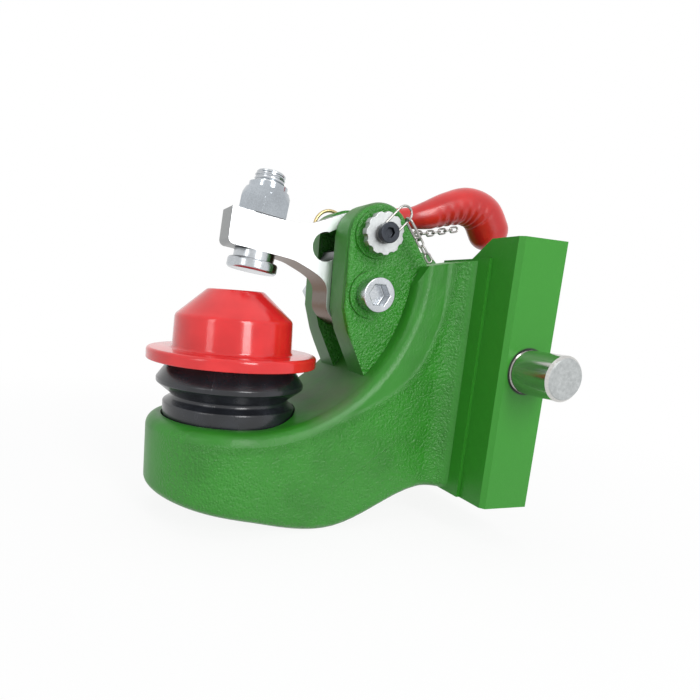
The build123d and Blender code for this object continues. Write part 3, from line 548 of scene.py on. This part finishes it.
def grip_mesh():
    work = bmesh.new()
    rings = []
    run = 0.0
    last = station(0.0)
    line = [station(ring / GRIP_RINGS) for ring in range(GRIP_RINGS + 1)]
    for index, (x, z, radius) in enumerate(line):
        run += (Vector((x, z)) - Vector(last[:2])).length
        last = (x, z)
        ahead = Vector(line[min(index + 1, GRIP_RINGS)][:2]) - Vector(line[max(index - 1, 0)][:2])
        ahead.normalize()
        across = Vector((-ahead.y, ahead.x))
        start = min(1.0, max(0.0, (run - HOLLOWS_FROM) / HOLLOWS_RISE))
        finish = min(1.0, max(0.0, (HOLLOWS_TO - run) / HOLLOWS_FALL))
        rings.append(ring_at(work, x, z, radius, across, start * finish * HOLLOW_DEPTH, run))
    end_x, end_z, end_r = line[-1]
    for step in range(1, TIP_RINGS):
        tip = math.radians(90.0 * step / TIP_RINGS)
        x = end_x + ahead.x * end_r * math.sin(tip)
        z = end_z + ahead.y * end_r * math.sin(tip)
        rings.append(ring_at(work, x, z, end_r * math.cos(tip), across, 0.0, 0.0))
    for low, high in zip(rings, rings[1:]):
        for column in range(GRIP_COLUMNS):
            follow = (column + 1) % GRIP_COLUMNS
            work.faces.new((low[column], low[follow], high[follow], high[column]))
    work.faces.new(rings[0])
    work.faces.new(rings[-1])
    bmesh.ops.recalc_face_normals(work, faces=work.faces)
    mesh = bpy.data.meshes.new("grip")
    work.to_mesh(mesh)
    work.free()
    mesh.shade_smooth()
    return mesh


def ring_at(work, x, z, radius, across, depth, run):
    """One ring of the grip, hollowed on its underside."""
    ring = []
    for column in range(GRIP_COLUMNS):
        turn = 2 * math.pi * column / GRIP_COLUMNS
        painted_reflection_below = max(0.0, 0.3 - math.sin(turn)) / 1.3
        wave = 0.5 - 0.5 * math.cos(2 * math.pi * run / HOLLOW_PITCH)
        r = radius - depth * painted_reflection_below * wave
        lift = across * (r * math.sin(turn))
        ring.append(work.verts.new(((x + lift.x) * MM, r * math.cos(turn) * MM, (z + lift.y) * MM)))
    return ring


grip_red = red_plastic("red_grip", (0.56, 0.014, 0.012, 1.0), (0.44, 0.010, 0.010, 1.0), 0.30)
new_piece("grip", grip_mesh(), grip_red, "lever", ["lever_grip"])


# The hinge of the lever: a socket-head screw through both ears, with a washer and nut on the far side.
# All of it is bright zinc, and the head stands on a cast boss of the near ear.
new_piece("hinge_screw", node_copy("pivot_bolt", 0.7), zinc, "carrier", ["pivot_bolt"])
new_piece("hinge_washer", node_copy("pivot_washer", 0.4), zinc, "carrier", ["pivot_washer"])
new_piece("hinge_nut", node_copy("pivot_nut", 0.6), zinc, "carrier", ["pivot_nut"])


# The locking pin: a stepped steel pin above the hinge, pushed in by a scalloped knob.
# The knob is held by a black screw, and a split ring hangs in the pin's far end.
pin_steel = turned_steel("bare_steel", (0.46, 0.45, 0.43, 1.0), 0.3)
knob_zinc = turned_steel("knob_zinc", (0.50, 0.52, 0.52, 1.0), 0.38)
black_oxide = turned_steel("black_steel", (0.05, 0.055, 0.065, 1.0), 0.35)
yellow_zinc = turned_steel("yellow_zinc", (0.66, 0.52, 0.26, 1.0), 0.3)
new_piece("lock_pin", node_copy("locking_pin", 0.5), pin_steel, "lock", ["locking_pin"])
new_piece("lock_knob", node_copy("locking_knob", 0.6), knob_zinc, "lock", ["locking_knob"])
new_piece("lock_screw", node_copy("knob_screw", 0.5), black_oxide, "lock", ["knob_screw"])
new_piece("lock_ring", node_copy("pull_ring"), yellow_zinc, "lock", ["pull_ring"])


# The tether: a wire eye under the knob's screw, a long hook and a short steel chain.
# More of the same chain lies along the underside of the grip.
new_piece("tether_eye", node_copy("wire_eye"), pin_steel, "lock", ["wire_eye"])
new_piece("tether_hook", node_copy("snap_hook"), pin_steel, "lock", ["snap_hook"])
LINK_SIZES = {"Link length": 8.4 * MM, "Link width": 5.4 * MM, "Wire": 1.5 * MM, "Pitch": 5.25 * MM}
TETHER_LINE = ((113.72, -50.6, 89.26), (123.85, -50.6, 77.07))
GRIP_LINE = ((138.0, 0.0, 100.0), (154.0, 0.0, 100.9), (170.0, 0.0, 104.6), (179.0, 0.0, 106.6))


def chain_tree():
    """Oval links strung along a curve, each turned a quarter from the one before."""
    tree, sizes = new_tree("chain", dict(LINK_SIZES, **{"First turn": 0.0}))
    tap = sizes["Wire"]
    curve = {"Curve": sizes["Geometry"]}
    smooth = tap.add("GeometryNodeCurveSplineType", {"spline_type": "CATMULL_ROM"}, curve)
    upright = tap.add("GeometryNodeSetCurveNormal", {"mode": "Z_UP"}, {"Curve": smooth})
    first = sizes["Pitch"] * 0.5
    trimmed = tap.add("GeometryNodeTrimCurve", {"mode": "LENGTH"}, {0: upright, 4: first, 5: 1.0})
    spacing = {"Curve": trimmed, "Length": sizes["Pitch"]}
    spots = tap.add("GeometryNodeCurveToPoints", {"mode": "LENGTH"}, spacing, out="Points")
    bend = (sizes["Link width"] - sizes["Wire"]) * 0.5
    loop = tap.add("GeometryNodeCurvePrimitiveCircle", None, {"Resolution": 20, "Radius": bend})
    across = part_of(tap.add("GeometryNodeInputPosition"), 1)
    side = across.sum("SIGN", across)
    straight = sizes["Link length"] - sizes["Link width"]
    stretch = tap.add("ShaderNodeCombineXYZ", None, {1: side * straight * 0.5})
    oval = tap.add("GeometryNodeSetPosition", None, {"Geometry": loop, "Offset": stretch})
    wire_r = sizes["Wire"] * 0.5
    wire = tap.add("GeometryNodeCurvePrimitiveCircle", None, {"Resolution": 10, "Radius": wire_r})
    flat = tap.add("GeometryNodeCurveToMesh", None, {"Curve": oval, "Profile Curve": wire})
    link = tap.add("GeometryNodeTransform", None, {"Geometry": flat, "Rotation": (math.pi / 2, 0.0, 0.0)})
    index = tap.add("GeometryNodeInputIndex")
    odd = index.sum("MODULO", index, 2.0)
    angle = sizes["First turn"] + odd * (math.pi / 2)
    turn = tap.add("FunctionNodeAxisAngleToRotation", None, {"Angle": angle})
    facing = tap.add("FunctionNodeRotateRotation", {"rotation_space": "LOCAL"}, {
        "Rotation": spots.beside("Rotation"), "Rotate By": turn,
    })
    strung = tap.add("GeometryNodeInstanceOnPoints", None, {
        "Points": spots, "Instance": link, "Rotation": facing,
    })
    close_tree(tree, strung, sizes["Material"])
    return tree


def chain_line(points):
    """Curve object through points in millimetres."""
    line = bpy.data.curves.new("chain_line", "CURVE")
    line.dimensions = "3D"
    spline = line.splines.new("POLY")
    spline.points.add(len(points) - 1)
    for spot, (x, y, z) in zip(spline.points, points):
        spot.co = (x * MM, y * MM, z * MM, 1.0)
    holder = bpy.data.objects.new("chain_line", line)
    scene.collection.objects.link(holder)
    return holder


chain = chain_tree()
tether_values = dict(LINK_SIZES, **{"First turn": math.pi / 2, "Material": pin_steel})
grip_values = dict(LINK_SIZES, **{"First turn": 0.0, "Material": pin_steel})
tether_mesh = grown(chain, tether_values, chain_line(TETHER_LINE))
new_piece("tether_links", tether_mesh, pin_steel, "lock", ["tether_chain"])
grip_chain_mesh = grown(chain, grip_values, chain_line(GRIP_LINE))
new_piece("grip_links", grip_chain_mesh, pin_steel, "lever", ["grip_chain"])


# The cross pin: bright drawn bar with chamfered ends, pushed through the plate and both guide rails.
# Its end faces are sawn and faced, so they look frosted beside the polished round.
def bright_bar():
    material, shader, at = new_finish("bright_bar", metallic=1.0, roughness=0.2)
    end = ease(abs(part_of(at, 1)), 126.2 * MM, 126.9 * MM)
    draw = at.add("ShaderNodeMapping", None, {"Vector": at, "Scale": (1.0, 0.04, 1.0)})
    lines = blotch(draw, 900.0, 2.0, 0.6)
    frost = blotch(at, 420.0, 3.0, 0.7)
    drawn_side = mixed(lines, (0.48, 0.48, 0.46, 1.0), (0.70, 0.69, 0.67, 1.0))
    sawn_end = mixed(frost, (0.28, 0.30, 0.30, 1.0), (0.62, 0.64, 0.64, 1.0))
    feed(
        shader,
        Base_Color=mixed(end, drawn_side, sawn_end),
        Roughness=0.12 + lines * 0.12 + end * (0.2 + frost * 0.2),
        Normal=raised(lines * (1.0 - end) * 0.4 + frost * end, 0.12 * MM, 0.6),
    )
    return material


new_piece("height_pin", node_copy("cross_pin", 0.0, 20.0), bright_bar(), "pin", ["cross_pin"])


# The studio: a pale floor under the hitch, a white room and three soft boxes.
# The camera stands where the photograph was taken from.
FLOOR_Z = -0.1205
FLOOR_HALF = 6.0


def looked_at(tap):
    """1 for the camera's rays and for those that mirrors and glass pass on, else 0."""
    camera_ray = tap.add("ShaderNodeLightPath", out="Is Camera Ray")
    mirrored_ray = camera_ray.sum("MAXIMUM", camera_ray, camera_ray.beside("Is Glossy Ray"))
    return mirrored_ray.sum("MAXIMUM", mirrored_ray, camera_ray.beside("Is Transmission Ray"))


floor_mesh = bpy.data.meshes.new("floor")
floor_plan = ((-1, -1), (1, -1), (1, 1), (-1, 1))
floor_corners = [(x * FLOOR_HALF, y * FLOOR_HALF, FLOOR_Z) for x, y in floor_plan]
floor_mesh.from_pydata(floor_corners, [], [(0, 1, 2, 3)])
floor_paint = bpy.data.materials.new("floor_paint")
floor_paint.use_nodes = True
floor_shader = floor_paint.node_tree.nodes["Principled BSDF"]
floor_shader.inputs["Base Color"].default_value = (0.88, 0.88, 0.88, 1.0)
floor_shader.inputs["Roughness"].default_value = 0.9
floor_tap = Tap(floor_paint.node_tree)
glow = floor_tap.add("ShaderNodeEmission", None, {"Color": (1.0, 1.0, 1.0, 1.0), "Strength": 1.0})
spot = floor_tap.add("ShaderNodeTexCoord", out="Object")
away = spot.add("ShaderNodeVectorMath", {"operation": "LENGTH"}, {0: spot}, out="Value")
bare = Tap(floor_tap.tree, floor_shader.outputs[0])
floor_look = {0: looked_at(floor_tap) * (0.90 + ease(away, 0.2, 0.7) * 0.10), 1: bare, 2: glow}
floor_tap.tree.links.new(
    floor_tap.add("ShaderNodeMixShader", None, floor_look).socket,
    floor_tap.tree.nodes["Material Output"].inputs["Surface"],
)
floor_mesh.materials.append(floor_paint)
floor = bpy.data.objects.new("floor", floor_mesh)
scene.collection.objects.link(floor)

world = bpy.data.worlds.new("white_room")
world.use_nodes = True
scene.world = world
room = Tap(world.node_tree)
light = room.add("ShaderNodeBackground", None, {"Color": (0.95, 0.97, 1.0, 1.0), "Strength": 0.42})
backdrop = room.add("ShaderNodeBackground", None, {"Color": (1.0, 1.0, 1.0, 1.0), "Strength": 1.0})
room.tree.links.new(
    room.add("ShaderNodeMixShader", None, {0: looked_at(room), 1: light, 2: backdrop}).socket,
    room.tree.nodes["World Output"].inputs["Surface"],
)


def soft_box(name, place, aim, size, energy, mirrored):
    """Area lamp, which shows in glossy surfaces only where it is mirrored."""
    lamp = bpy.data.lights.new(name, "AREA")
    lamp.shape = "RECTANGLE"
    lamp.size, lamp.size_y = size
    lamp.energy = energy
    holder = bpy.data.objects.new(name, lamp)
    turn = (Vector(aim) - Vector(place)).to_track_quat("-Z", "Y").to_matrix().to_4x4()
    holder.matrix_world = Matrix.Translation(place) @ turn
    holder.visible_glossy = mirrored
    scene.collection.objects.link(holder)


soft_box("key", (0.22, -1.2, 0.55), (0.03, 0.0, 0.0), (0.36, 1.0), 11.0, True)
soft_box("fill", (-1.1, -0.7, 0.45), (0.05, 0.0, 0.0), (0.3, 0.8), 2.5, True)
soft_box("top", (0.05, 0.15, 1.2), (0.05, 0.0, 0.0), (1.0, 0.8), 6.0, False)

CAMERA_PLACE = Vector((-0.11035, -0.39286, 0.04241))
AZIMUTH = math.radians(19.19)
DOWN = math.radians(9.78)
ROLL = math.radians(4.44)
ahead = Vector((math.sin(AZIMUTH) * math.cos(DOWN), math.cos(AZIMUTH) * math.cos(DOWN), -math.sin(DOWN)))
level = ahead.cross(Vector((0.0, 0.0, 1.0))).normalized()
upward = level.cross(ahead)
right = math.cos(ROLL) * level + math.sin(ROLL) * upward
top = -math.sin(ROLL) * level + math.cos(ROLL) * upward
lens = bpy.data.cameras.new("camera")
lens.sensor_width = 36.0
lens.lens = 28.464
lens.shift_x = 0.1248
lens.shift_y = 0.0591
lens.clip_start = 0.01
camera = bpy.data.objects.new("camera", lens)
camera.matrix_world = Matrix.Translation(CAMERA_PLACE) @ Matrix((right, top, -ahead)).transposed().to_4x4()
scene.collection.objects.link(camera)
scene.camera = camera
